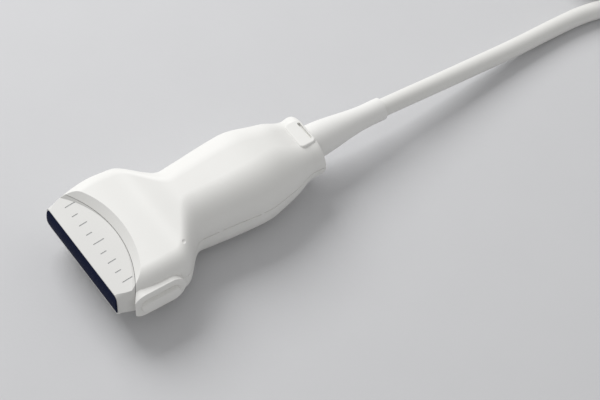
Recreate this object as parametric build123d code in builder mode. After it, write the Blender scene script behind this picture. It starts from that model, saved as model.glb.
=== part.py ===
from build123d import *
import os
from math import cos, degrees, pi, radians, sin, tan

# Linear-array ultrasound probe lying on its handle, with its cable and connector.
# +X runs from the lens to the cable, +Z is up, and the origin is on the flat under the handle.

# Frame
lens_x = -52.0
axis_height = 13.0

# Outer form of head and handle: distance behind the lens plane, half width, rise, depth, corner
nose_half_width = 21.75
nose_half_height = 4.9
nose_corner = 2.6
head_front_at = 9.0
head_front_half_width = 23.6
head_front_half_height = 8.3
head_at = 16.0
head_half_width = 24.0
head_half_height = 9.0
head_corner = 6.0
head_rear_at = 24.0
head_rear_half_width = 23.4
head_rear_rise = 8.7
neck_at = 36.0
neck_half_width = 13.9
neck_rise = 12.0
neck_depth = 12.5
neck_corner = 10.5
grip_at = 48.0
grip_half_width = 14.7
grip_rise = 12.5
belly_at = 60.0
belly_half_width = 15.8
belly_rise = 12.9
belly_depth = 13.15
belly_corner = 11.5
taper_at = 69.0
taper_half_width = 14.3
taper_rise = 11.9
taper_depth = 12.6
waist_at = 75.0
waist_half_width = 12.7
waist_rise = 9.8
waist_corner = 9.0
collar_at = 80.0
collar_half_width = 11.0
collar_rise = 7.5
collar_corner = 7.0
rear_at = 85.0
rear_half_width = 10.8
rear_rise = 7.3
wall = 1.8
section_pitch = 3.5

# How far a cutting piece reaches past what it cuts
overcut = 1.0

# Arc step behind the tick marks, and the seam at its foot
arc_radius = 42.5
arc_at = 14.0
step_lean = 1.3
facet_front_rise = 4.75
facet_slope = 0.125
seam_gap = 0.15

# Tick marks on the sloped face
aperture = 35.0
tick_count = 9
tick_front_at = 4.4
tick_width = 0.45
tick_depth = 0.2
tick_long = 4.0
tick_medium = 3.0
tick_short = 2.2

# Marker boss on one side, dimple on the shoulder, tab and slot at the rear, parting groove
boss_front_at = 8.0
pad_length = 14.5
pad_height = 10.0
pad_reach = 25.4
bar_length = 12.0
bar_height = 3.8
bar_reach = 27.0
boss_edge = 0.5
dimple_at = 27.6
dimple_side = 17.2
dimple_radius = 1.3
dimple_depth = 0.5
tab_front_at = 79.0
tab_half_width = 5.5
tab_rise = 8.1
tab_corner = 1.5
tab_edge = 0.6
slot_at = 83.8
slot_length = 7.6
slot_width = 0.9
slot_depth = 0.9
groove_front_at = 24.0
groove_width = 0.3
groove_depth = 0.25

# Lens and acoustic stack
lens_width = 42.0
lens_height = 8.6
lens_corner = 1.6
lens_bulge = 0.7
lens_seat = 1.9
glue_gap = 0.05
stack_width = 38.0
stack_height = 6.4
matching_thickness = 0.2
piezo_thickness = 0.4
kerf_count = 32
kerf_width = 0.1
kerf_depth = 0.25
backing_length = 10.3
spreader_thickness = 1.0
pocket_width = 38.8
pocket_height = 7.2
pocket_corner = 0.5

# Nose sleeve that slides into the housing, and its seal
sleeve_width = 41.0
sleeve_height = 9.6
sleeve_corner = 2.0
sleeve_rear_at = 16.5
sleeve_gap = 0.1
seal_at = 14.8
seal_thickness = 1.0
seal_depth = 0.7
cavity_front_at = 18.0
cavity_rear_at = 82.0

# Flex circuits, boards and screening cans
flex_thickness = 0.15
flex_width = 36.0
flex_tail_width = 15.0
flex_taper_from = 18.0
flex_taper_to = 29.0
flex_end_at = 38.0
flex_connector_length = 4.0
flex_connector_height = 1.4
board_front_at = 33.0
board_rear_at = 65.0
board_width = 17.0
board_thickness = 1.0
board_corner = 1.0
can_front_at = 32.0
can_rear_at = 66.5
can_half_width = 9.0
can_rise = 7.6
can_corner = 2.5
can_sheet = 0.3
can_parting_gap = 0.2
rib_positions = (42.0, 57.0)
rib_thickness = 1.2
rib_gap = 0.2

# Cable, its crimp ring, clamp and boot
cable_diameter = 6.2
cable_start_at = 76.0
bundle_start_at = 58.0
bundle_width = 13.0
bundle_height = 0.9
bundle_corner = 0.3
bundle_end_width = 4.4
bundle_end_height = 2.0
bundle_end_corner = 0.65
bundle_bend_at = 65.2
bundle_end_rise = 1.05
ring_thickness = 0.8
ring_length = 4.0
ring_gap = 0.05
clamp_length = 3.0
clamp_front_at = 76.5
clamp_half_width = 6.9
clamp_rise = 4.5
clamp_from_axis = 0.3
clamp_gap = 0.05
screw_side = 5.3
screw_shank_radius = 0.95
screw_hole_gap = 0.1
screw_reach = 4.4
screw_head_radius = 1.5
screw_head_height = 0.9
screw_slot_width = 0.5
screw_slot_depth = 0.5
saddle_half_width = 8.0
boot_flange_at = 80.3
boot_flange_radius = 5.4
boot_flange_rear_at = 81.9
boot_neck_radius = 4.3
boot_hole_gap = 0.1
boot_bore_gap = 0.15
boot_front_radius = 6.0
boot_end_radius = 3.85
boot_taper_end_at = 109.0
boot_end_at = 114.0
boot_sections = 8
boot_seat_gap = 0.1

# Share of a straight run that the bend at each of its ends may take
bend_share = 0.45

# Cable route from the clamp to the coil, as distances behind the lens plane, sideways, and height
cable_route = [
    (76.0, 0.0, 13.0),
    (96.0, 0.0, 13.0),
    (115.0, 0.3, 11.5),
    (134.0, 0.8, 9.0),
    (153.0, 1.5, 6.4),
    (171.0, 2.1, 4.1),
    (187.0, 2.7, 3.1),
    (201.0, 2.1, 3.1),
    (212.5, -1.7, 3.2),
    (222.0, -6.6, 3.5),
    (232.6, -10.3, 3.7),
]

# Coil of the rest of the cable, tied, with the connector lying on it
coil_centre_at = 240.0
coil_centre_side = 23.0
coil_radius = 29.5
coil_layers = 4
coil_layer_turns = 2
tie_thickness = 0.6
tie_width = 10.0
tie_angle = 40.0
tie_gap = 0.05

# Cable route off the coil: angle round the coil's centre, distance from it, and height
tail_turn = [
    (105.0, 31.0, 19.9),
    (135.0, 31.8, 22.0),
    (165.0, 31.0, 24.6),
    (195.0, 30.0, 27.1),
    (225.0, 28.6, 29.6),
]
tail_lead = 9.9

# Connector, measured along its own axis from the tip of its boot
connector_start_from_coil = 3.0
connector_side_from_coil = -25.8
connector_boot_length = 10.0
connector_boot_tip_radius = 4.0
connector_boot_root_radius = 5.6
connector_boot_neck_radius = 4.6
connector_boot_flange_radius = 6.2
connector_boot_flange_length = 1.5
connector_length = 27.0
connector_width = 34.0
connector_height = 17.0
connector_corner = 4.0
connector_edge = 1.5
connector_wall = 2.0
connector_lift = 0.05
connector_gap = 0.1
frame_width = 25.0
frame_height = 9.0
frame_corner = 2.0
frame_reach = 4.5
frame_sheet = 0.8
frame_flange = 1.5
frame_flange_length = 1.0
frame_inside = 3.0
contact_recess = 0.5
contact_columns = 12
contact_rows = 2
contact_pitch = 1.8
contact_row_pitch = 3.2
contact_width = 1.1
contact_height = 2.2
contact_thickness = 0.2
connector_board_length = 12.0
connector_board_width = 20.0
connector_board_thickness = 1.2
connector_clamp_length = 4.0
connector_clamp_width = 14.0
connector_clamp_height = 10.0
connector_screw_side = 12.6
connector_screw_front = 5.0
connector_screw_pitch = 12.0
connector_screw_radius = 1.0
connector_screw_head_radius = 1.8
connector_screw_head_height = 1.4
connector_screw_reach = 4.0
connector_post_radius = 2.2

os.makedirs("parts", exist_ok=True)


def cross_plane(at, side=0.0, height=axis_height):
    """Plane square to the probe's axis, with its sketch axes along +Y and +Z."""
    return Plane(origin=(lens_x + at, side, height), x_dir=(0, 1, 0), z_dir=(1, 0, 0))


def save(piece, label):
    """Name a finished piece and write its file."""
    piece.part.label = label
    export_step(piece.part, f"parts/{label}.step")


def named_stations():
    """Sections of the outer form, each a distance, half width, rise, depth and corner radius."""
    return [
        (0.0, nose_half_width, nose_half_height, nose_half_height, nose_corner),
        (head_front_at, head_front_half_width, head_front_half_height, head_front_half_height, head_corner),
        (head_at, head_half_width, head_half_height, head_half_height, head_corner),
        (head_rear_at, head_rear_half_width, head_rear_rise, head_half_height, head_corner),
        (neck_at, neck_half_width, neck_rise, neck_depth, neck_corner),
        (grip_at, grip_half_width, grip_rise, belly_depth, neck_corner),
        (belly_at, belly_half_width, belly_rise, belly_depth, belly_corner),
        (taper_at, taper_half_width, taper_rise, taper_depth, belly_corner),
        (waist_at, waist_half_width, waist_rise, waist_rise, waist_corner),
        (collar_at, collar_half_width, collar_rise, collar_rise, collar_corner),
        (rear_at, rear_half_width, rear_rise, rear_rise, collar_corner),
    ]


def smooth_value(places, values, at):
    """Value at a place on a smooth curve through the given values that never overshoots them."""
    steps = [end - start for start, end in zip(places, places[1:])]
    slopes = [(end - start) / step for start, end, step in zip(values, values[1:], steps)]
    bends = [slopes[0]]
    for before, after in zip(slopes, slopes[1:]):
        bends.append(2 * before * after / (before + after) if before * after > 0 else 0.0)
    bends.append(slopes[-1])
    span = max(index for index in range(len(steps)) if places[index] <= at)
    step = steps[span]
    share = (at - places[span]) / step
    rest = 1 - share
    return (
        values[span] * rest**2 * (1 + 2 * share)
        + values[span + 1] * share**2 * (3 - 2 * share)
        + step * share * rest * (bends[span] * rest - bends[span + 1] * share)
    )


def form_stations():
    """Evenly spaced sections on smooth curves through the named ones."""
    places, *sizes = zip(*named_stations())
    count = round(rear_at / section_pitch)
    stations = []
    for index in range(count + 1):
        at = rear_at * index / count
        stations.append((at, *[smooth_value(places, values, at) for values in sizes]))
    return stations


def housing_form(inset):
    """The moulded form of head and handle, with every section drawn in by the inset."""
    with BuildPart() as form:
        for at, half_width, rise, depth, corner in form_stations():
            with BuildSketch(cross_plane(at, height=axis_height + (rise - depth) / 2)):
                RectangleRounded(2 * (half_width - inset), rise + depth - 2 * inset, corner - inset)
        loft()
    return form.part


def prism(width, height, corner, start_at, end_at, height_at=axis_height):
    """A straight bar of rounded section along the probe's axis."""
    with BuildPart() as bar:
        with BuildSketch(cross_plane(start_at, height=height_at)):
            RectangleRounded(width, height, corner)
        extrude(amount=end_at - start_at)
    return bar.part


arc_centre_x = lens_x + arc_at - arc_radius
seam_radius = arc_radius - step_lean

# Space in front of the arc step: a cone whose floor is the sloped tick face
facet_plane = Plane(
    origin=(lens_x, 0, axis_height + facet_front_rise), x_dir=(1, 0, facet_slope), z_dir=(-facet_slope, 0, 1)
)
cone_height = 2 * head_half_height
cone_bottom_radius = seam_radius - (facet_front_rise + facet_slope * arc_at)
with BuildPart() as upper_facet_space:
    with Locations((arc_centre_x, 0, axis_height)):
        Cone(
            cone_bottom_radius,
            cone_bottom_radius + cone_height,
            cone_height,
            align=(Align.CENTER, Align.CENTER, Align.MIN),
        )
    split(bisect_by=facet_plane, keep=Keep.TOP)
with BuildPart() as lower_facet_space:
    add(upper_facet_space.part)
    mirror(about=Plane.XY.offset(axis_height), mode=Mode.REPLACE)


def in_front_of_arc(radius):
    """Upright drum whose rear wall is the arc seam."""
    with BuildPart() as drum:
        with BuildSketch():
            with Locations((arc_centre_x, 0)):
                Circle(radius)
        extrude(amount=2 * axis_height)
    return drum.part


form_outside = housing_form(0)
form_inside = housing_form(wall)
seam_drum_front = in_front_of_arc(seam_radius - seam_gap / 2)
seam_drum_rear = in_front_of_arc(seam_radius + seam_gap / 2)

# Nose piece: frame round the lens with the tick face, and the sleeve that enters the housing
sleeve_bar = prism(sleeve_width, sleeve_height, sleeve_corner, head_front_at / 2, sleeve_rear_at)
with BuildPart() as nose_piece:
    add(form_outside)
    add(seam_drum_front, mode=Mode.INTERSECT)
    add(upper_facet_space.part, mode=Mode.SUBTRACT)
    add(lower_facet_space.part, mode=Mode.SUBTRACT)
    add(sleeve_bar)
    add(
        prism(
            lens_width + 2 * glue_gap,
            lens_height + 2 * glue_gap,
            lens_corner + glue_gap,
            -lens_bulge,
            lens_seat,
        ),
        mode=Mode.SUBTRACT,
    )
    add(prism(pocket_width, pocket_height, pocket_corner, lens_seat, sleeve_rear_at), mode=Mode.SUBTRACT)
    with BuildSketch(cross_plane(seal_at)):
        RectangleRounded(sleeve_width + overcut, sleeve_height + overcut, sleeve_corner)
        RectangleRounded(
            sleeve_width - 2 * seal_depth,
            sleeve_height - 2 * seal_depth,
            sleeve_corner - seal_depth,
            mode=Mode.SUBTRACT,
        )
    extrude(amount=seal_thickness, mode=Mode.SUBTRACT)
    tick_step = aperture / (tick_count - 1)
    for index in range(tick_count):
        length = tick_long if index % 4 == 0 else tick_medium if index % 2 == 0 else tick_short
        with BuildSketch(facet_plane):
            with Locations((tick_front_at + length / 2, (index - (tick_count - 1) / 2) * tick_step)):
                SlotOverall(length, tick_width)
        extrude(amount=-tick_depth, mode=Mode.SUBTRACT)
save(nose_piece, "nose_piece")

with BuildPart() as nose_seal:
    with BuildSketch(cross_plane(seal_at + glue_gap)):
        RectangleRounded(sleeve_width, sleeve_height, sleeve_corner)
        RectangleRounded(
            sleeve_width - 2 * seal_depth + glue_gap,
            sleeve_height - 2 * seal_depth + glue_gap,
            sleeve_corner - seal_depth,
            mode=Mode.SUBTRACT,
        )
    extrude(amount=seal_thickness - 2 * glue_gap)
save(nose_seal, "nose_seal")

# Both housing shells, made as one and parted at mid-height
with BuildPart() as boss:
    with BuildSketch(Plane.XZ):
        with Locations((lens_x + boss_front_at + pad_length / 2 - pad_height / 4, axis_height)):
            SlotOverall(pad_length + pad_height / 2, pad_height)
    extrude(amount=pad_reach)
    with BuildSketch(Plane.XZ):
        with Locations((lens_x + boss_front_at + bar_length / 2 - bar_height / 4, axis_height)):
            SlotOverall(bar_length + bar_height / 2, bar_height)
    extrude(amount=bar_reach)
    fillet(boss.faces().filter_by(Axis.Y).group_by(Axis.Y)[0].edges(), boss_edge)
    split(bisect_by=Plane.XZ.offset(head_half_width - wall), keep=Keep.TOP)

with BuildPart() as tab:
    with BuildSketch(Plane.XY.offset(axis_height)):
        with Locations((lens_x + (tab_front_at + rear_at) / 2, 0)):
            RectangleRounded(rear_at - tab_front_at, 2 * tab_half_width, tab_corner)
    extrude(amount=tab_rise)
    fillet(tab.faces().sort_by(Axis.Z)[-1].edges(), tab_edge)

with BuildPart() as cavity:
    add(form_inside)
    split(bisect_by=cross_plane(cavity_front_at), keep=Keep.TOP)
    split(bisect_by=cross_plane(cavity_rear_at), keep=Keep.BOTTOM)
    add(
        prism(
            sleeve_width + 2 * sleeve_gap,
            sleeve_height + 2 * sleeve_gap,
            sleeve_corner + sleeve_gap,
            0,
            cavity_front_at + overcut,
        )
    )

with BuildPart() as ribs:
    for position in rib_positions:
        with BuildSketch(cross_plane(position)):
            Rectangle(2 * belly_half_width, 2 * belly_depth)
            RectangleRounded(
                2 * (can_half_width + rib_gap), 2 * (can_rise + rib_gap), can_corner, mode=Mode.SUBTRACT
            )
        extrude(amount=rib_thickness)
    add(form_outside, mode=Mode.INTERSECT)

with BuildPart() as saddle:
    with Locations((lens_x + clamp_front_at + clamp_length / 2, 0, axis_height - clamp_from_axis)):
        Box(
            clamp_length,
            2 * saddle_half_width,
            waist_rise,
            align=(Align.CENTER, Align.CENTER, Align.MAX),
        )
    add(form_outside, mode=Mode.INTERSECT)

# Parting groove along both sides, behind the marker boss
with BuildPart() as groove:
    with Locations((lens_x + groove_front_at, 0, axis_height)):
        Box(
            rear_at - groove_front_at + overcut,
            2 * (head_half_width + overcut),
            groove_width,
            align=(Align.MIN, Align.CENTER, Align.CENTER),
        )
    add(housing_form(groove_depth), mode=Mode.SUBTRACT)

ring_outer_radius = cable_diameter / 2 + ring_gap + ring_thickness
with BuildPart() as housing:
    add(form_outside)
    add(boss.part)
    add(tab.part)
    add(upper_facet_space.part, mode=Mode.SUBTRACT)
    add(lower_facet_space.part, mode=Mode.SUBTRACT)
    add(seam_drum_rear, mode=Mode.SUBTRACT)
    add(groove.part, mode=Mode.SUBTRACT)
    add(cavity.part, mode=Mode.SUBTRACT)
    add(ribs.part)
    add(saddle.part)
    with BuildSketch(cross_plane(cable_start_at - overcut)):
        Circle(ring_outer_radius + clamp_gap)
    extrude(amount=cavity_rear_at - cable_start_at, mode=Mode.SUBTRACT)
    with BuildSketch(cross_plane(cavity_rear_at - overcut)):
        Circle(boot_neck_radius + boot_hole_gap)
    extrude(amount=rear_at - cavity_rear_at + 2 * overcut, mode=Mode.SUBTRACT)
    with BuildSketch(Plane.XY.offset(axis_height + tab_rise)):
        with Locations((lens_x + slot_at, 0)):
            SlotOverall(slot_length, slot_width, rotation=90)
    extrude(amount=-slot_depth, mode=Mode.SUBTRACT)
    dimple_height = axis_height + head_half_height - dimple_depth + dimple_radius
    with Locations((lens_x + dimple_at, -dimple_side, dimple_height)):
        Sphere(dimple_radius, mode=Mode.SUBTRACT)
    with BuildSketch(Plane.XY.offset(axis_height)):
        with Locations((lens_x + clamp_front_at + clamp_length / 2, 0)):
            with GridLocations(0, 2 * screw_side, 1, 2):
                Circle(screw_shank_radius + screw_hole_gap / 2)
    extrude(amount=-screw_reach - screw_hole_gap, mode=Mode.SUBTRACT)
    split(bisect_by=Plane.XY, keep=Keep.TOP)

with BuildPart() as upper_housing:
    add(housing.part)
    split(bisect_by=Plane.XY.offset(axis_height), keep=Keep.TOP)
save(upper_housing, "upper_housing")

with BuildPart() as lower_housing:
    add(housing.part)
    split(bisect_by=Plane.XY.offset(axis_height), keep=Keep.BOTTOM)
save(lower_housing, "lower_housing")


def mirrored(upper):
    """The lower twin of an upper piece."""
    with BuildPart() as twin:
        add(upper.part)
        mirror(about=Plane.XY.offset(axis_height), mode=Mode.REPLACE)
    return twin


# Lens with its cylindrical bulge, seated in the nose piece
lens_radius = (lens_height**2 / 4 + lens_bulge**2) / (2 * lens_bulge)
with BuildPart() as acoustic_lens:
    with BuildSketch(cross_plane(-lens_bulge)):
        RectangleRounded(lens_width, lens_height, lens_corner)
    extrude(amount=lens_seat + lens_bulge)
    with Locations((lens_x - lens_bulge + lens_radius, 0, axis_height)):
        Cylinder(lens_radius, lens_width, rotation=(90, 0, 0), mode=Mode.INTERSECT)
save(acoustic_lens, "acoustic_lens")

# Acoustic stack behind the lens
outer_layer_at = lens_seat
inner_layer_at = outer_layer_at + matching_thickness
piezo_at = inner_layer_at + matching_thickness
backing_at = piezo_at + piezo_thickness
spreader_at = backing_at + backing_length

with BuildPart() as matching_layer_outer:
    with BuildSketch(cross_plane(outer_layer_at)):
        Rectangle(stack_width, stack_height)
    extrude(amount=matching_thickness)
save(matching_layer_outer, "matching_layer_outer")

with BuildPart() as matching_layer_inner:
    with BuildSketch(cross_plane(inner_layer_at)):
        Rectangle(stack_width, stack_height)
    extrude(amount=matching_thickness)
save(matching_layer_inner, "matching_layer_inner")

with BuildPart() as piezo_array:
    with BuildSketch(cross_plane(piezo_at)):
        Rectangle(stack_width, stack_height)
    extrude(amount=piezo_thickness)
    with BuildSketch(cross_plane(piezo_at)):
        with GridLocations(aperture / kerf_count, 0, kerf_count, 1):
            Rectangle(kerf_width, stack_height)
    extrude(amount=kerf_depth, mode=Mode.SUBTRACT)
save(piezo_array, "piezo_array")

with BuildPart() as backing_block:
    with BuildSketch(cross_plane(backing_at)):
        Rectangle(stack_width, stack_height)
    extrude(amount=backing_length)
save(backing_block, "backing_block")

with BuildPart() as heat_spreader:
    with BuildSketch(cross_plane(spreader_at)):
        Rectangle(stack_width, stack_height)
    extrude(amount=spreader_thickness)
save(heat_spreader, "heat_spreader")

# Flex circuits from the elements to the boards, the boards and their screening cans
flex_rise = axis_height + stack_height / 2
flex_connector_rise = flex_rise + flex_thickness
board_rise = flex_connector_rise + flex_connector_height
with BuildPart() as flex_circuit_upper:
    with BuildSketch(Plane.XY.offset(flex_rise)):
        with BuildLine():
            Polyline(
                (lens_x + backing_at, flex_width / 2),
                (lens_x + flex_taper_from, flex_width / 2),
                (lens_x + flex_taper_to, flex_tail_width / 2),
                (lens_x + flex_end_at, flex_tail_width / 2),
                (lens_x + flex_end_at, -flex_tail_width / 2),
                (lens_x + flex_taper_to, -flex_tail_width / 2),
                (lens_x + flex_taper_from, -flex_width / 2),
                (lens_x + backing_at, -flex_width / 2),
                close=True,
            )
        make_face()
    extrude(amount=flex_thickness)
save(flex_circuit_upper, "flex_circuit_upper")
save(mirrored(flex_circuit_upper), "flex_circuit_lower")

with BuildPart() as flex_connector_upper:
    with BuildSketch(Plane.XY.offset(flex_connector_rise)):
        with Locations((lens_x + flex_end_at - flex_connector_length / 2, 0)):
            Rectangle(flex_connector_length, flex_tail_width)
    extrude(amount=flex_connector_height)
save(flex_connector_upper, "flex_connector_upper")
save(mirrored(flex_connector_upper), "flex_connector_lower")

with BuildPart() as interconnect_board_upper:
    with BuildSketch(Plane.XY.offset(board_rise)):
        with Locations((lens_x + (board_front_at + board_rear_at) / 2, 0)):
            RectangleRounded(board_rear_at - board_front_at, board_width, board_corner)
    extrude(amount=board_thickness)
save(interconnect_board_upper, "interconnect_board_upper")
save(mirrored(interconnect_board_upper), "interconnect_board_lower")

with BuildPart() as shield_cover_upper:
    with BuildSketch(cross_plane(can_front_at)):
        RectangleRounded(2 * can_half_width, 2 * can_rise, can_corner)
        RectangleRounded(
            2 * (can_half_width - can_sheet),
            2 * (can_rise - can_sheet),
            can_corner - can_sheet,
            mode=Mode.SUBTRACT,
        )
    extrude(amount=can_rear_at - can_front_at)
    split(bisect_by=Plane.XY.offset(axis_height + can_parting_gap / 2), keep=Keep.TOP)
save(shield_cover_upper, "shield_cover_upper")
save(mirrored(shield_cover_upper), "shield_cover_lower")

bundle_rise = board_rise + board_thickness + bundle_height / 2
with BuildPart() as coax_bundle_upper:
    with BuildSketch(cross_plane(bundle_start_at, height=bundle_rise)):
        RectangleRounded(bundle_width, bundle_height, bundle_corner)
    extrude(amount=bundle_bend_at - bundle_start_at)
    with BuildSketch(cross_plane(bundle_bend_at, height=bundle_rise)):
        RectangleRounded(bundle_width, bundle_height, bundle_corner)
    with BuildSketch(cross_plane(cable_start_at, height=axis_height + bundle_end_rise)):
        RectangleRounded(bundle_end_width, bundle_end_height, bundle_end_corner)
    loft()
save(coax_bundle_upper, "coax_bundle_upper")
save(mirrored(coax_bundle_upper), "coax_bundle_lower")

# Crimp ring on the cable, and the clamp that holds it in the lower shell
with BuildPart() as cable_crimp_ring:
    with BuildSketch(cross_plane(cable_start_at)):
        Circle(ring_outer_radius)
        Circle(cable_diameter / 2 + ring_gap, mode=Mode.SUBTRACT)
    extrude(amount=ring_length)
save(cable_crimp_ring, "cable_crimp_ring")

with BuildPart() as cable_clamp:
    with BuildSketch(Plane.XY.offset(axis_height + clamp_from_axis)):
        with Locations((lens_x + clamp_front_at + clamp_length / 2, 0)):
            Rectangle(clamp_length, 2 * clamp_half_width)
            with GridLocations(0, 2 * screw_side, 1, 2):
                Circle(screw_shank_radius + screw_hole_gap, mode=Mode.SUBTRACT)
    extrude(amount=clamp_rise - clamp_from_axis)
    with BuildSketch(cross_plane(cable_start_at)):
        Circle(ring_outer_radius + clamp_gap)
    extrude(amount=ring_length, mode=Mode.SUBTRACT)
save(cable_clamp, "cable_clamp")

with BuildPart() as clamp_screws:
    with BuildSketch(Plane.XY.offset(axis_height + clamp_rise)):
        with Locations((lens_x + clamp_front_at + clamp_length / 2, 0)):
            with GridLocations(0, 2 * screw_side, 1, 2):
                Circle(screw_shank_radius)
    extrude(amount=-clamp_rise - screw_reach)
    with BuildSketch(Plane.XY.offset(axis_height + clamp_rise)):
        with Locations((lens_x + clamp_front_at + clamp_length / 2, 0)):
            with GridLocations(0, 2 * screw_side, 1, 2):
                Circle(screw_head_radius)
    extrude(amount=screw_head_height)
    with BuildSketch(Plane.XY.offset(axis_height + clamp_rise + screw_head_height)):
        with Locations((lens_x + clamp_front_at + clamp_length / 2, 0)):
            with GridLocations(0, 2 * screw_side, 1, 2):
                Rectangle(2 * screw_head_radius, screw_slot_width)
    extrude(amount=-screw_slot_depth, mode=Mode.SUBTRACT)
save(clamp_screws, "clamp_screws")


def corner_radii(points):
    """The largest neat bend at each inner point of a cord's route."""
    radii = []
    for before, corner, after in zip(points, points[1:], points[2:]):
        turn = (corner - before).get_angle(after - corner)
        shorter = min((corner - before).length, (after - corner).length)
        radii.append(bend_share * shorter / tan(radians(turn) / 2))
    return radii


def route_line(points, name):
    """Straight runs joined by tangent bends, with the bend radii printed."""
    radii = corner_radii(points)
    print(name, "bend radii", [round(radius) for radius in radii])
    with BuildLine() as line:
        FilletPolyline(*points, radius=radii)
    return line.wire()


def tube(line, name):
    """Round cord along a line, with its volume set against section times length."""
    with BuildPart() as cord:
        with BuildSketch(Plane(origin=line @ 0, z_dir=line % 0)):
            Circle(cable_diameter / 2)
        sweep(path=line)
    expected = pi * cable_diameter**2 / 4 * line.length
    print(name, "length", round(line.length, 1), "volume share", round(cord.part.volume / expected, 4))
    return cord


cable_line = route_line([Vector(lens_x + at, side, height) for at, side, height in cable_route], "cable")
save(tube(cable_line, "cable"), "cable")


def boot_plane(at):
    """Plane square to the cable, as far along it as the given distance behind the lens."""
    share = (at - cable_start_at) / cable_line.length
    return Plane(origin=cable_line @ share, x_dir=(0, 1, 0), z_dir=cable_line % share)


# Strain relief boot, moulded round the cable with a waist in the housing's rear wall
with BuildPart() as strain_relief:
    boot_start_at = rear_at + boot_seat_gap
    boot_pitch = (boot_end_at - boot_start_at) / boot_sections
    for step in range(boot_sections + 1):
        at = boot_start_at + boot_pitch * step
        share = min(1.0, (at - boot_start_at) / (boot_taper_end_at - boot_start_at))
        spread = (boot_front_radius - boot_end_radius) * (1 + cos(pi * share)) / 2
        with BuildSketch(boot_plane(at)):
            Circle(boot_end_radius + spread)
    loft()
    with BuildSketch(cross_plane(boot_flange_at)):
        Circle(boot_flange_radius)
    extrude(amount=boot_flange_rear_at - boot_flange_at)
    with BuildSketch(cross_plane(boot_flange_rear_at)):
        Circle(boot_neck_radius)
    extrude(amount=boot_start_at - boot_flange_rear_at)
    with BuildSketch(cross_plane(boot_flange_at)):
        Circle(cable_diameter / 2 + boot_bore_gap)
    extrude(amount=boot_start_at - boot_flange_at, mode=Mode.SUBTRACT)
    for step in range(boot_sections + 1):
        with BuildSketch(boot_plane(boot_start_at + boot_pitch * step)):
            Circle(cable_diameter / 2 + boot_bore_gap)
    loft(mode=Mode.SUBTRACT)
save(strain_relief, "strain_relief")


# Coil of the put-away length: layers of turns, each lying in the dips of the one below, held by a strap
coil_x = lens_x + coil_centre_at
coil_y = coil_centre_side
coil_axis = Axis((coil_x, coil_y, 0), (0, 0, 1))
coil_lift = tie_thickness + tie_gap
layer_pitch = cable_diameter * cos(radians(30))
coil_width = cable_diameter * (coil_layer_turns + 0.5)
coil_height = cable_diameter + layer_pitch * (coil_layers - 1)
coil_top = coil_lift + coil_height
coil_plane = Plane(origin=(coil_x, coil_y, coil_lift + coil_height / 2), x_dir=(1, 0, 0), z_dir=(0, -1, 0))
tie_arc = degrees(tie_width / coil_radius)


def coil_section(plane, spread):
    """Outline of the bundle of turns, grown by a distance, as a sketch on a plane through the coil's axis."""
    with BuildSketch(plane) as section:
        with Locations((coil_radius, 0)):
            RectangleRounded(coil_width + 2 * spread, coil_height + 2 * spread, cable_diameter / 2 + spread)
    return section.sketch


with BuildPart() as cable_coil:
    add(coil_section(coil_plane, 0))
    revolve(axis=coil_axis)
save(cable_coil, "cable_coil")

tie_plane = Plane(
    origin=coil_plane.origin,
    x_dir=(cos(radians(tie_angle)), sin(radians(tie_angle)), 0),
    z_dir=(sin(radians(tie_angle)), -cos(radians(tie_angle)), 0),
)
tie_band = coil_section(tie_plane, tie_gap + tie_thickness) - coil_section(tie_plane, tie_gap)
with BuildPart() as cable_tie:
    add(tie_band)
    revolve(axis=coil_axis, revolution_arc=tie_arc)
save(cable_tie, "cable_tie")

# Connector lying on the coil
connector_x = coil_x + connector_start_from_coil
connector_y = coil_y + connector_side_from_coil
connector_z = coil_top + connector_lift + connector_height / 2
shell_at = connector_boot_length
shell_front_at = shell_at + connector_length
front_wall_at = shell_front_at - connector_wall
rear_wall_at = shell_at + connector_wall


def connector_plane(along):
    """Plane square to the connector's axis, with its sketch axes along +Y and +Z."""
    return Plane(origin=(connector_x + along, connector_y, connector_z), x_dir=(0, 1, 0), z_dir=(1, 0, 0))


screw_centre_x = connector_x + shell_at + connector_screw_front + connector_screw_pitch / 2
connector_floor = Plane(origin=(screw_centre_x, connector_y, connector_z - connector_height / 2))
with BuildPart() as connector_shell:
    with BuildSketch(connector_plane(shell_at)):
        RectangleRounded(connector_width, connector_height, connector_corner)
    extrude(amount=connector_length)
    fillet(connector_shell.faces().filter_by(Axis.X).edges(), connector_edge)
    with BuildSketch(connector_plane(rear_wall_at)):
        RectangleRounded(
            connector_width - 2 * connector_wall,
            connector_height - 2 * connector_wall,
            connector_corner - connector_wall,
        )
    extrude(amount=front_wall_at - rear_wall_at, mode=Mode.SUBTRACT)
    with BuildSketch(connector_floor.offset(connector_wall / 2)):
        with GridLocations(connector_screw_pitch, 2 * connector_screw_side, 2, 2):
            Circle(connector_post_radius)
    extrude(amount=connector_height - connector_wall)
    with BuildSketch(connector_plane(front_wall_at - connector_gap)):
        RectangleRounded(
            frame_width + 2 * connector_gap, frame_height + 2 * connector_gap, frame_corner + connector_gap
        )
    extrude(amount=connector_wall + 2 * connector_gap, mode=Mode.SUBTRACT)
    with BuildSketch(connector_plane(shell_at - connector_gap)):
        Circle(connector_boot_neck_radius + connector_gap)
    extrude(amount=connector_wall + 2 * connector_gap, mode=Mode.SUBTRACT)
    with BuildSketch(connector_floor):
        with GridLocations(connector_screw_pitch, 2 * connector_screw_side, 2, 2):
            Circle(connector_screw_head_radius + connector_gap)
    extrude(amount=connector_screw_head_height + connector_gap, mode=Mode.SUBTRACT)
    with BuildSketch(connector_floor):
        with GridLocations(connector_screw_pitch, 2 * connector_screw_side, 2, 2):
            Circle(connector_screw_radius + connector_gap / 2)
    extrude(amount=connector_height / 2 + connector_screw_reach + connector_gap, mode=Mode.SUBTRACT)

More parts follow.
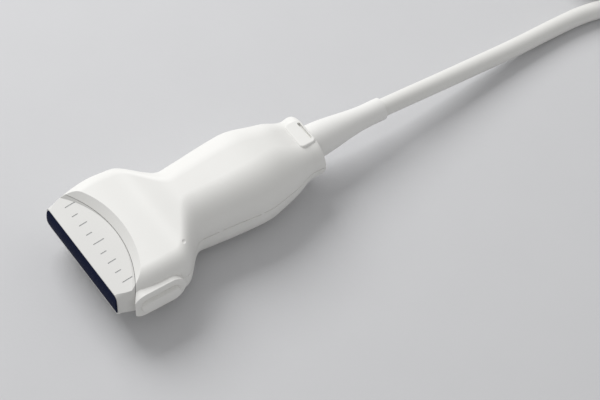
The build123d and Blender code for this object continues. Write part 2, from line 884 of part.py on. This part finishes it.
with BuildPart() as connector_shell_upper:
    add(connector_shell.part)
    split(bisect_by=Plane.XY.offset(connector_z), keep=Keep.TOP)
save(connector_shell_upper, "connector_shell_upper")

with BuildPart() as connector_shell_lower:
    add(connector_shell.part)
    split(bisect_by=Plane.XY.offset(connector_z), keep=Keep.BOTTOM)
save(connector_shell_lower, "connector_shell_lower")

with BuildPart() as connector_screws:
    with BuildSketch(connector_floor.offset(connector_gap)):
        with GridLocations(connector_screw_pitch, 2 * connector_screw_side, 2, 2):
            Circle(connector_screw_head_radius)
    extrude(amount=connector_screw_head_height)
    with BuildSketch(connector_floor.offset(connector_gap)):
        with GridLocations(connector_screw_pitch, 2 * connector_screw_side, 2, 2):
            Circle(connector_screw_radius)
    extrude(amount=connector_height / 2 + connector_screw_reach - connector_gap)
    with BuildSketch(connector_floor.offset(connector_gap)):
        with GridLocations(connector_screw_pitch, 2 * connector_screw_side, 2, 2):
            Rectangle(2 * connector_screw_head_radius, screw_slot_width)
    extrude(amount=screw_slot_depth, mode=Mode.SUBTRACT)
save(connector_screws, "connector_screws")

# Metal frame of the connector's nose, its contact block, contacts and board
frame_rear_at = front_wall_at - frame_inside
frame_front_at = shell_front_at + frame_reach
block_front_at = frame_front_at - contact_recess
with BuildPart() as connector_frame:
    with BuildSketch(connector_plane(frame_rear_at)):
        RectangleRounded(frame_width, frame_height, frame_corner)
    extrude(amount=frame_front_at - frame_rear_at)
    with BuildSketch(connector_plane(front_wall_at - frame_flange_length)):
        RectangleRounded(frame_width + 2 * frame_flange, frame_height + 2 * frame_flange, frame_corner)
    extrude(amount=frame_flange_length)
    with BuildSketch(connector_plane(frame_rear_at)):
        RectangleRounded(
            frame_width - 2 * frame_sheet, frame_height - 2 * frame_sheet, frame_corner - frame_sheet
        )
    extrude(amount=frame_front_at - frame_rear_at, mode=Mode.SUBTRACT)
save(connector_frame, "connector_frame")

with BuildPart() as contact_block:
    with BuildSketch(connector_plane(frame_rear_at)):
        RectangleRounded(
            frame_width - 2 * frame_sheet - connector_gap,
            frame_height - 2 * frame_sheet - connector_gap,
            frame_corner - frame_sheet,
        )
    extrude(amount=block_front_at - contact_thickness - frame_rear_at)
save(contact_block, "contact_block")

with BuildPart() as contact_pads:
    with BuildSketch(connector_plane(block_front_at - contact_thickness)):
        with GridLocations(contact_pitch, contact_row_pitch, contact_columns, contact_rows):
            Rectangle(contact_width, contact_height)
    extrude(amount=contact_thickness)
save(contact_pads, "contact_pads")

with BuildPart() as connector_board:
    with BuildSketch(connector_plane(frame_rear_at - connector_board_length)):
        Rectangle(connector_board_width, connector_board_thickness)
    extrude(amount=connector_board_length)
save(connector_board, "connector_board")

# Boot of the connector, with its flange inside the shell, and the clamp on the cable
flange_front_at = rear_wall_at + connector_gap
clamp_at = flange_front_at + connector_boot_flange_length
cable_end_at = clamp_at + connector_clamp_length
with BuildPart() as connector_strain_relief:
    with BuildSketch(connector_plane(0)):
        Circle(connector_boot_tip_radius)
    with BuildSketch(connector_plane(shell_at - connector_gap)):
        Circle(connector_boot_root_radius)
    loft()
    with BuildSketch(connector_plane(shell_at - connector_gap)):
        Circle(connector_boot_neck_radius)
    extrude(amount=connector_wall + 2 * connector_gap)
    with BuildSketch(connector_plane(flange_front_at)):
        Circle(connector_boot_flange_radius)
    extrude(amount=connector_boot_flange_length)
    with BuildSketch(connector_plane(0)):
        Circle(cable_diameter / 2 + boot_bore_gap)
    extrude(amount=clamp_at, mode=Mode.SUBTRACT)
save(connector_strain_relief, "connector_strain_relief")

with BuildPart() as connector_clamp:
    with BuildSketch(connector_plane(clamp_at)):
        Rectangle(connector_clamp_width, connector_clamp_height)
        Circle(cable_diameter / 2 + ring_gap, mode=Mode.SUBTRACT)
    extrude(amount=connector_clamp_length)
save(connector_clamp, "connector_clamp")

# Last stretch of the cable: off the coil's top layer, over the coil and into the connector
tail_route = []
for angle, distance, height in tail_turn:
    across = distance * cos(radians(angle))
    along = distance * sin(radians(angle))
    tail_route.append(Vector(coil_x + across, coil_y + along, height))
tail_route.append(Vector(connector_x - tail_lead, connector_y, connector_z))
tail_route.append(Vector(connector_x + cable_end_at, connector_y, connector_z))
save(tube(route_line(tail_route, "cable_tail"), "cable_tail"), "cable_tail")
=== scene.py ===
from math import atan, cos, pi, radians, sin

import bmesh
import bpy
from bpy.props import FloatProperty, FloatVectorProperty, PointerProperty
from mathutils import Matrix, Vector


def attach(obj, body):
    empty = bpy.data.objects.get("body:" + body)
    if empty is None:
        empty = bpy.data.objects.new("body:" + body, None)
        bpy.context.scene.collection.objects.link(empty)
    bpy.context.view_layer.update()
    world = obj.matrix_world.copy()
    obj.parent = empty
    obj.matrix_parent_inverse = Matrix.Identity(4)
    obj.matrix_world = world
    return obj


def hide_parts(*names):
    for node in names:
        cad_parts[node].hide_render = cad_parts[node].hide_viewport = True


bl_info = {
    "name": "Ultrasound Probe",
    "version": (1, 0, 0),
    "blender": (4, 5, 0),
    "location": "3D View > Sidebar > Probe",
    "description": "Finishes, cable and studio of a linear-array ultrasound probe",
    "category": "Object",
}

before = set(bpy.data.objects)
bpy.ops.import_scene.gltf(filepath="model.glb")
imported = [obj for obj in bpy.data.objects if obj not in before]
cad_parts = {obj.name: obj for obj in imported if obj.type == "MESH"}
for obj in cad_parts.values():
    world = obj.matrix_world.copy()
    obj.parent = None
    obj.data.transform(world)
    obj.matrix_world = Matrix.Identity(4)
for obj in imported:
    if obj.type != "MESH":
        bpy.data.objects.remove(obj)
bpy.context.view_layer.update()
BODY = "root"

# Camera of the photograph: what it looks at, its bearing, its height angle and the width that it sees there
VIEW_TARGET = Vector((0.0184, -0.0176, 0.013))
VIEW_AZIMUTH = radians(-33.6)
VIEW_ELEVATION = radians(52.3)
VIEW_DISTANCE = 0.9
VIEW_WIDTH = 0.1917
SENSOR_WIDTH = 36.0

# Route of the cable from the clamp in the handle to the coil, in the row frame
CABLE_ROUTE = [
    (0.024, 0.0, 0.013),
    (0.044, 0.0, 0.013),
    (0.063, 0.0003, 0.0115),
    (0.082, 0.0008, 0.009),
    (0.101, 0.0015, 0.0064),
    (0.119, 0.0021, 0.0041),
    (0.135, 0.0027, 0.0031),
    (0.149, 0.0021, 0.0031),
    (0.1605, -0.0017, 0.0032),
    (0.17, -0.0066, 0.0035),
    (0.1806, -0.0103, 0.0037),
]

# Coil: its centre, the angles where the cable enters and leaves, its mean radius, its lowest turn's height,
# the pitch of turns and layers, and how many turn pitches each turn of a layer lies off the mean radius
COIL_CENTRE = (0.188, 0.023)
COIL_ENTRY_ANGLE = 257.5
COIL_EXIT_ANGLE = 105.0
COIL_RADIUS = 0.0295
COIL_BOTTOM = 0.00375
COIL_LAYERS = 4
TURN_PITCH = 0.0062
LAYER_PITCH = 0.00537
INWARD_LAYER = (0.75, -0.25)
OUTWARD_LAYER = (-0.75, 0.25)
TURN_POINTS = 16
CHANGE_POINTS = 3
FULL_TURN = 360.0
CURVE_STEPS = 6

# Route off the coil: angle round its centre, distance from it and height, then points in the row frame
TAIL_TURN = [
    (135.0, 0.0318, 0.022),
    (165.0, 0.031, 0.0246),
    (195.0, 0.03, 0.0271),
    (225.0, 0.0286, 0.0296),
]
TAIL_END = [
    (0.1811, -0.0028, 0.0315),
    (0.2086, -0.0028, 0.0315),
]
CABLE_NODES = ("cable", "cable_coil", "cable_tail")

# Tick marks: the sloped face that they are cut in, then their place, lengths, width and depths on it
TICK_FACE_ORIGIN = Vector((-0.052, 0.0, 0.01775))
TICK_FACE_SLOPE = 0.125
TICK_COUNT = 9
TICK_SPAN = 0.035
TICK_FRONT = 0.0044
TICK_LONG = 0.004
TICK_MEDIUM = 0.003
TICK_SHORT = 0.0022
TICK_HALF_WIDTH = 0.000215
TICK_BOTTOM = 0.000195
TICK_TOP = 0.00012
TICK_SEGMENTS = 12
TICKS_FROM_LONG_TO_LONG = 4
TICKS_FROM_LONG_TO_MEDIUM = 2

# Finishes, most named as their material slot:
# colour, metallic, roughness, grain per metre, grain depth, clouding
FINISHES = {
    # Nose piece: the housing's white plastic made darker, painted shade for how the light falls on the nose
    "nose_plastic_painted_shade": ((0.74, 0.735, 0.715), 0.0, 0.45, 2600.0, 0.000008, 0.03),
    "housing_plastic": ((0.86, 0.855, 0.83), 0.0, 0.45, 2600.0, 0.000008, 0.03),
    "lens_silicone": ((0.009, 0.014, 0.045), 0.0, 0.6, 3200.0, 0.000006, 0.25),
    "boot_elastomer": ((0.87, 0.865, 0.845), 0.0, 0.5, 2200.0, 0.000012, 0.04),
    "cable_jacket": ((0.83, 0.825, 0.8), 0.0, 0.48, 1800.0, 0.000012, 0.04),
    "seal_rubber": ((0.6, 0.6, 0.58), 0.0, 0.7, 2400.0, 0.00001, 0.2),
    "matching_resin": ((0.55, 0.5, 0.4), 0.0, 0.35, 3000.0, 0.000006, 0.15),
    "piezo_ceramic": ((0.72, 0.66, 0.5), 0.0, 0.6, 3800.0, 0.000008, 0.12),
    "backing_compound": ((0.12, 0.12, 0.13), 0.0, 0.75, 1500.0, 0.00002, 0.3),
    "spreader_aluminium": ((0.75, 0.76, 0.78), 1.0, 0.34, 4200.0, 0.000006, 0.1),
    "flex_film": ((0.75, 0.42, 0.1), 0.0, 0.3, 2400.0, 0.000005, 0.2),
    "board_laminate": ((0.05, 0.28, 0.14), 0.0, 0.4, 2600.0, 0.00001, 0.35),
    "connector_black": ((0.04, 0.04, 0.045), 0.0, 0.5, 2600.0, 0.00001, 0.3),
    "screen_copper": ((0.8, 0.5, 0.35), 1.0, 0.36, 3600.0, 0.000008, 0.2),
    "coax_wire": ((0.6, 0.6, 0.62), 0.0, 0.5, 1200.0, 0.00004, 0.25),
    "crimp_brass": ((0.8, 0.62, 0.3), 1.0, 0.3, 3600.0, 0.000006, 0.15),
    "clamp_steel": ((0.62, 0.62, 0.64), 1.0, 0.32, 4200.0, 0.000006, 0.15),
    "frame_metal": ((0.7, 0.7, 0.72), 1.0, 0.28, 4200.0, 0.000005, 0.12),
    "contact_gold": ((0.9, 0.68, 0.3), 1.0, 0.22, 4200.0, 0.000004, 0.1),
    "shell_grey": ((0.55, 0.56, 0.57), 0.0, 0.48, 2400.0, 0.000012, 0.06),
    "tie_strap": ((0.1, 0.1, 0.11), 0.0, 0.8, 1600.0, 0.00004, 0.3),
}

# Parts with a finish of their own (the nose piece's is a darker copy of the housing plastic, which is
# painted shade), finishes whose colour a user chooses, and how strongly finishes mirror
OWN_FINISHES = {"nose_piece": "nose_plastic_painted_shade"}
CHOSEN_COLOURS = {"housing_plastic": "housing", "lens_silicone": "lens", "cable_jacket": "cable"}
DULL_FINISHES = {"lens_silicone": 0.04}
PLAIN_SPECULAR = 0.5

# Shared surface: the size and detail of its clouds and grain, the colour that clouds turn to, the spread of
# roughness, and the finishes of the grey fill in the ticks and of the floor, without their colours
CLOUD_SCALE = 55.0
CLOUD_DETAIL = 3.0
GRAIN_DETAIL = 2.0
CLOUD_COLOUR = (0.0, 0.0, 0.0, 1.0)
ROUGHNESS_SPREAD = 0.08
TICK_FINISH = (0.0, 0.6, 3000.0, 0.000006, 0.2)
FLOOR_FINISH = (0.0, 0.75, 900.0, 0.00002, 0.02)

# Studio: where the key light stands, how far the floor lies below the object, and the colour of the air
KEY_PLACE = Vector((0.0, 0.71, 0.7))
FLOOR_DROP = 0.00005
AIR_COLOUR = (1.0, 1.0, 1.0, 1.0)


class ProbeColours(bpy.types.PropertyGroup):
    """Colours that a user would change."""

    housing: FloatVectorProperty(
        name="Housing",
        description="Colour of the two moulded shells",
        subtype="COLOR",
        default=FINISHES["housing_plastic"][0],
        min=0.0,
        max=1.0,
    )
    lens: FloatVectorProperty(
        name="Lens",
        description="Colour of the acoustic lens",
        subtype="COLOR",
        default=FINISHES["lens_silicone"][0],
        min=0.0,
        max=1.0,
    )
    cable: FloatVectorProperty(
        name="Cable",
        description="Colour of the cable's jacket",
        subtype="COLOR",
        default=FINISHES["cable_jacket"][0],
        min=0.0,
        max=1.0,
    )
    tick: FloatVectorProperty(
        name="Tick marks",
        description="Colour of the tick marks on the nose piece",
        subtype="COLOR",
        default=(0.55, 0.555, 0.56),
        min=0.0,
        max=1.0,
    )
    floor: FloatVectorProperty(
        name="Floor",
        description="Colour of the surface that the probe lies on",
        subtype="COLOR",
        default=(0.645, 0.647, 0.66),
        min=0.0,
        max=1.0,
    )


class ProbeCable(bpy.types.PropertyGroup):
    """Sizes of the cable."""

    diameter: FloatProperty(
        name="Diameter",
        description="Outer diameter of the cable's jacket",
        subtype="DISTANCE",
        unit="LENGTH",
        default=0.0062,
    )
    length: FloatProperty(
        name="Length",
        description="Length of the cable from the clamp in the handle to the connector",
        subtype="DISTANCE",
        unit="LENGTH",
        default=1.67,
    )


class ProbeStudio(bpy.types.PropertyGroup):
    """Light and floor of the studio."""

    key_power: FloatProperty(
        name="Key light",
        description="Power of the large soft light behind the probe",
        unit="POWER",
        default=7.6,
    )
    key_size: FloatProperty(
        name="Key size",
        description="Side of the large soft light",
        unit="LENGTH",
        default=0.65,
    )
    fill_strength: FloatProperty(
        name="Fill",
        description="Strength of the even light from all round",
        default=0.46,
    )
    floor_size: FloatProperty(
        name="Floor size",
        description="Side of the floor",
        unit="LENGTH",
        default=4.0,
    )


def new_group(name, inputs, outputs):
    """Empty node group with its sockets, and its input and output nodes."""
    group = bpy.data.node_groups.new(name, "ShaderNodeTree")
    for label, kind in inputs:
        group.interface.new_socket(label, in_out="INPUT", socket_type=kind)
    for label, kind in outputs:
        group.interface.new_socket(label, in_out="OUTPUT", socket_type=kind)
    return group, group.nodes.new("NodeGroupInput"), group.nodes.new("NodeGroupOutput")


def surface_group():
    """Node group for every finish: soft clouding of a colour, a roughness that varies and a fine grain."""
    name = "Moulded Surface"
    if name in bpy.data.node_groups:
        return bpy.data.node_groups[name]
    group, start, end = new_group(
        name,
        [
            ("Colour", "NodeSocketColor"),
            ("Roughness", "NodeSocketFloat"),
            ("Clouding", "NodeSocketFloat"),
            ("Grain Scale", "NodeSocketFloat"),
            ("Grain Depth", "NodeSocketFloat"),
        ],
        [
            ("Colour", "NodeSocketColor"),
            ("Roughness", "NodeSocketFloat"),
            ("Normal", "NodeSocketVector"),
        ],
    )
    nodes = group.nodes
    link = group.links.new
    place = nodes.new("ShaderNodeTexCoord")
    clouds = nodes.new("ShaderNodeTexNoise")
    clouds.inputs["Scale"].default_value = CLOUD_SCALE
    clouds.inputs["Detail"].default_value = CLOUD_DETAIL
    link(place.outputs["Object"], clouds.inputs["Vector"])
    shade = nodes.new("ShaderNodeMath")
    shade.operation = "MULTIPLY"
    link(clouds.outputs["Fac"], shade.inputs[0])
    link(start.outputs["Clouding"], shade.inputs[1])
    darken = nodes.new("ShaderNodeMix")
    darken.data_type = "RGBA"
    darken.blend_type = "MIX"
    link(shade.outputs[0], darken.inputs["Factor"])
    link(start.outputs["Colour"], darken.inputs["A"])
    darken.inputs["B"].default_value = CLOUD_COLOUR
    link(darken.outputs["Result"], end.inputs["Colour"])
    wear = nodes.new("ShaderNodeMath")
    wear.operation = "MULTIPLY_ADD"
    link(clouds.outputs["Fac"], wear.inputs[0])
    wear.inputs[1].default_value = ROUGHNESS_SPREAD
    link(start.outputs["Roughness"], wear.inputs[2])
    link(wear.outputs[0], end.inputs["Roughness"])
    grain = nodes.new("ShaderNodeTexNoise")
    grain.inputs["Detail"].default_value = GRAIN_DETAIL
    link(place.outputs["Object"], grain.inputs["Vector"])
    link(start.outputs["Grain Scale"], grain.inputs["Scale"])
    bump = nodes.new("ShaderNodeBump")
    link(grain.outputs["Fac"], bump.inputs["Height"])
    link(start.outputs["Grain Depth"], bump.inputs["Distance"])
    link(bump.outputs["Normal"], end.inputs["Normal"])
    return group


def surface_material(name, colour, metallic, roughness, grain_scale, grain_depth, clouding):
    """Principled material fed by the shared surface group."""
    material = bpy.data.materials.new(name)
    material.use_nodes = True
    nodes = material.node_tree.nodes
    link = material.node_tree.links.new
    shader = nodes["Principled BSDF"]
    shader.inputs["Metallic"].default_value = metallic
    surface = nodes.new("ShaderNodeGroup")
    surface.node_tree = surface_group()
    surface.inputs["Colour"].default_value = (*colour, 1.0)
    surface.inputs["Roughness"].default_value = roughness
    surface.inputs["Clouding"].default_value = clouding
    surface.inputs["Grain Scale"].default_value = grain_scale
    surface.inputs["Grain Depth"].default_value = grain_depth
    link(surface.outputs["Colour"], shader.inputs["Base Color"])
    link(surface.outputs["Roughness"], shader.inputs["Roughness"])
    link(surface.outputs["Normal"], shader.inputs["Normal"])
    return material


def finish_material(finish):
    """The material of a finish, made once, in the colour chosen for it where there is one."""
    name = f"finish_{finish}"
    if name not in bpy.data.materials:
        colour, *surface = FINISHES[finish]
        if finish in CHOSEN_COLOURS:
            colour = getattr(bpy.context.scene.probe_colours, CHOSEN_COLOURS[finish])
        material = surface_material(name, colour, *surface)
        shader = material.node_tree.nodes["Principled BSDF"]
        shader.inputs["Specular IOR Level"].default_value = DULL_FINISHES.get(finish, PLAIN_SPECULAR)
    return bpy.data.materials[name]


def new_piece(name, data, material):
    """Link a new piece of the object, give it its finish and let it ride on the body."""
    piece = bpy.data.objects.new(name, data)
    bpy.context.scene.collection.objects.link(piece)
    data.materials.append(material)
    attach(piece, BODY)
    return piece


def round_coil(angle, distance, height):
    """Point in the row frame at an angle in degrees and a distance round the coil's centre."""
    along = COIL_CENTRE[0] + distance * cos(radians(angle))
    across = COIL_CENTRE[1] + distance * sin(radians(angle))
    return (along, across, height)


def coil_turns():
    """Distance from the coil's centre and height of each turn, from the lowest layer up."""
    turns = []
    for layer in range(COIL_LAYERS):
        height = COIL_BOTTOM + layer * LAYER_PITCH
        offsets = INWARD_LAYER if layer % 2 == 0 else OUTWARD_LAYER
        for offset in offsets:
            turns.append((COIL_RADIUS + offset * TURN_PITCH, height))
    return turns


def coil_points():
    """Control points of the turns, each turn easing into the next one's place over its last points."""
    turns = coil_turns()
    last_turn = len(turns) - 1
    full_angle = FULL_TURN * len(turns) - (COIL_ENTRY_ANGLE - COIL_EXIT_ANGLE)
    step_angle = FULL_TURN / TURN_POINTS
    control_scale = 1 / cos(pi / TURN_POINTS)
    points = []
    for step in range(1, int(full_angle / step_angle) + 1):
        turn = min(step // TURN_POINTS, last_turn)
        distance, height = turns[turn]
        left_in_turn = TURN_POINTS - step % TURN_POINTS
        if left_in_turn <= CHANGE_POINTS and turn < last_turn:
            share = 1 - left_in_turn / (CHANGE_POINTS + 1)
            next_distance, next_height = turns[turn + 1]
            distance += (next_distance - distance) * share
            height += (next_height - height) * share
        points.append(round_coil(COIL_ENTRY_ANGLE + step * step_angle, distance * control_scale, height))
    return points


def tick_length(index):
    """Length of a tick by its place in the row."""
    if index % TICKS_FROM_LONG_TO_LONG == 0:
        return TICK_LONG
    if index % TICKS_FROM_LONG_TO_MEDIUM == 0:
        return TICK_MEDIUM
    return TICK_SHORT


def add_tick(work, length, side):
    """Grey fill of one tick, a slot with round ends that lies level until the whole row is tilted."""
    made = bmesh.ops.create_circle(work, cap_ends=True, segments=TICK_SEGMENTS, radius=TICK_HALF_WIDTH)
    disc = made["verts"]
    half_step = Matrix.Rotation(pi / TICK_SEGMENTS, 3, "Z")
    bmesh.ops.rotate(work, matrix=half_step, verts=disc)
    rear_end = [vert for vert in disc if vert.co.x > 0.0]
    bmesh.ops.translate(work, vec=(length - 2 * TICK_HALF_WIDTH, 0.0, 0.0), verts=rear_end)
    grown = bmesh.ops.extrude_face_region(work, geom=disc[0].link_faces[:])
    raised = [item for item in grown["geom"] if isinstance(item, bmesh.types.BMVert)]
    bmesh.ops.translate(work, vec=(0.0, 0.0, TICK_BOTTOM - TICK_TOP), verts=raised)
    place = (TICK_FRONT + TICK_HALF_WIDTH, side, -TICK_BOTTOM)
    bmesh.ops.translate(work, vec=place, verts=disc + raised)


class PROBE_OT_place_camera(bpy.types.Operator):
    """Put the camera where the photograph was taken from"""

    bl_idname = "probe.place_camera"
    bl_label = "Place camera"

    def execute(self, context):
        back = Vector(
            (
                sin(VIEW_AZIMUTH) * cos(VIEW_ELEVATION),
                -cos(VIEW_AZIMUTH) * cos(VIEW_ELEVATION),
                sin(VIEW_ELEVATION),
            )
        )
        data = bpy.data.cameras.new("photo_camera")
        data.sensor_width = SENSOR_WIDTH
        data.lens = SENSOR_WIDTH * VIEW_DISTANCE / VIEW_WIDTH
        camera = bpy.data.objects.new("photo_camera", data)
        camera.location = VIEW_TARGET + back * VIEW_DISTANCE
        camera.rotation_euler = back.to_track_quat("Z", "Y").to_euler()
        context.scene.collection.objects.link(camera)
        context.scene.camera = camera
        return {"FINISHED"}


class PROBE_OT_lay_cable(bpy.types.Operator):
    """Lay the cable along its route, through its coil and into the connector"""

    bl_idname = "probe.lay_cable"
    bl_label = "Lay cable"

    def execute(self, context):
        sizes = context.scene.probe_cable
        tail = [round_coil(*place) for place in TAIL_TURN]
        points = CABLE_ROUTE + coil_points() + tail + TAIL_END
        data = bpy.data.curves.new("cable_line", "CURVE")
        data.dimensions = "3D"
        data.bevel_depth = sizes.diameter / 2
        data.bevel_resolution = CURVE_STEPS
        data.use_fill_caps = True
        spline = data.splines.new("NURBS")
        spline.points.add(len(points) - 1)
        for control, place in zip(spline.points, points):
            control.co = (*place, 1.0)
        spline.order_u = 3
        spline.use_endpoint_u = True
        spline.resolution_u = CURVE_STEPS
        cable = new_piece("cable_line", data, finish_material("cable_jacket"))
        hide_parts(*CABLE_NODES)
        return {"FINISHED"}


class PROBE_OT_finish_parts(bpy.types.Operator):
    """Give every CAD part the finish of its material slot, or its own, the nose piece's own being painted
    shade
    """

    bl_idname = "probe.finish_parts"
    bl_label = "Finish parts"

    def execute(self, context):
        for name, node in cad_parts.items():
            for place in node.material_slots:
                slot = place.material.name.split(".")[0]
                place.material = finish_material(OWN_FINISHES.get(name, slot))
        return {"FINISHED"}


class PROBE_OT_fill_ticks(bpy.types.Operator):
    """Lay a grey fill in the engraved tick marks"""

    bl_idname = "probe.fill_ticks"
    bl_label = "Fill tick marks"

    def execute(self, context):
        work = bmesh.new()
        for index in range(TICK_COUNT):
            side = TICK_SPAN * (index / (TICK_COUNT - 1) - 0.5)
            add_tick(work, tick_length(index), side)
        onto_face = Matrix.Translation(TICK_FACE_ORIGIN) @ Matrix.Rotation(-atan(TICK_FACE_SLOPE), 4, "Y")
        bmesh.ops.transform(work, matrix=onto_face, verts=work.verts)
        bmesh.ops.recalc_face_normals(work, faces=work.faces)
        mesh = bpy.data.meshes.new("tick_fill")
        work.to_mesh(mesh)
        work.free()
        colour = context.scene.probe_colours.tick
        tick_fill_material = surface_material("tick_fill", colour, *TICK_FINISH)
        new_piece("tick_fill", mesh, tick_fill_material)
        return {"FINISHED"}


class PROBE_OT_set_stage(bpy.types.Operator):
    """Set the floor, the soft key light and the even fill"""

    bl_idname = "probe.set_stage"
    bl_label = "Set stage"

    def execute(self, context):
        studio = context.scene.probe_studio
        work = bmesh.new()
        bmesh.ops.create_grid(work, x_segments=1, y_segments=1, size=studio.floor_size / 2)
        bmesh.ops.translate(work, vec=(0.0, 0.0, -FLOOR_DROP), verts=work.verts)
        mesh = bpy.data.meshes.new("studio_floor")
        work.to_mesh(mesh)
        work.free()
        floor = bpy.data.objects.new("studio_floor", mesh)
        colour = context.scene.probe_colours.floor
        mesh.materials.append(surface_material("floor_paper", colour, *FLOOR_FINISH))
        key_data = bpy.data.lights.new("key_light", "AREA")
        key_data.shape = "SQUARE"
        key_data.size = studio.key_size
        key_data.energy = studio.key_power
        key = bpy.data.objects.new("key_light", key_data)
        key.location = KEY_PLACE
        key.rotation_euler = key.location.to_track_quat("Z", "Y").to_euler()
        for item in (floor, key):
            context.scene.collection.objects.link(item)
        world = bpy.data.worlds.new("studio_air")
        world.use_nodes = True
        air = world.node_tree.nodes["Background"]
        air.inputs["Color"].default_value = AIR_COLOUR
        air.inputs["Strength"].default_value = studio.fill_strength
        context.scene.world = world
        context.scene.view_settings.view_transform = "Standard"
        return {"FINISHED"}


class PROBE_PT_panel(bpy.types.Panel):
    """Lists the probe's settings and steps"""

    bl_label = "Ultrasound Probe"
    bl_idname = "PROBE_PT_panel"
    bl_space_type = "VIEW_3D"
    bl_region_type = "UI"
    bl_category = "Probe"

    def draw(self, context):
        layout = self.layout
        scene = context.scene
        for group in (scene.probe_colours, scene.probe_cable, scene.probe_studio):
            for name in group.__annotations__:
                layout.prop(group, name)
        for operator in OPERATORS:
            layout.operator(operator.bl_idname)


OPERATORS = (
    PROBE_OT_place_camera,
    PROBE_OT_lay_cable,
    PROBE_OT_finish_parts,
    PROBE_OT_fill_ticks,
    PROBE_OT_set_stage,
)
SETTINGS = {
    "probe_colours": ProbeColours,
    "probe_cable": ProbeCable,
    "probe_studio": ProbeStudio,
}


def register():
    for kind in (*SETTINGS.values(), *OPERATORS, PROBE_PT_panel):
        bpy.utils.register_class(kind)
    for name, kind in SETTINGS.items():
        setattr(bpy.types.Scene, name, PointerProperty(type=kind))


def unregister():
    for name in SETTINGS:
        delattr(bpy.types.Scene, name)
    for kind in (PROBE_PT_panel, *reversed(OPERATORS), *SETTINGS.values()):
        bpy.utils.unregister_class(kind)


def main():
    register()
    bpy.ops.probe.place_camera()
    bpy.ops.probe.lay_cable()
    bpy.ops.probe.finish_parts()
    bpy.ops.probe.fill_ticks()
    bpy.ops.probe.set_stage()


if __name__ == "__main__":
    main()
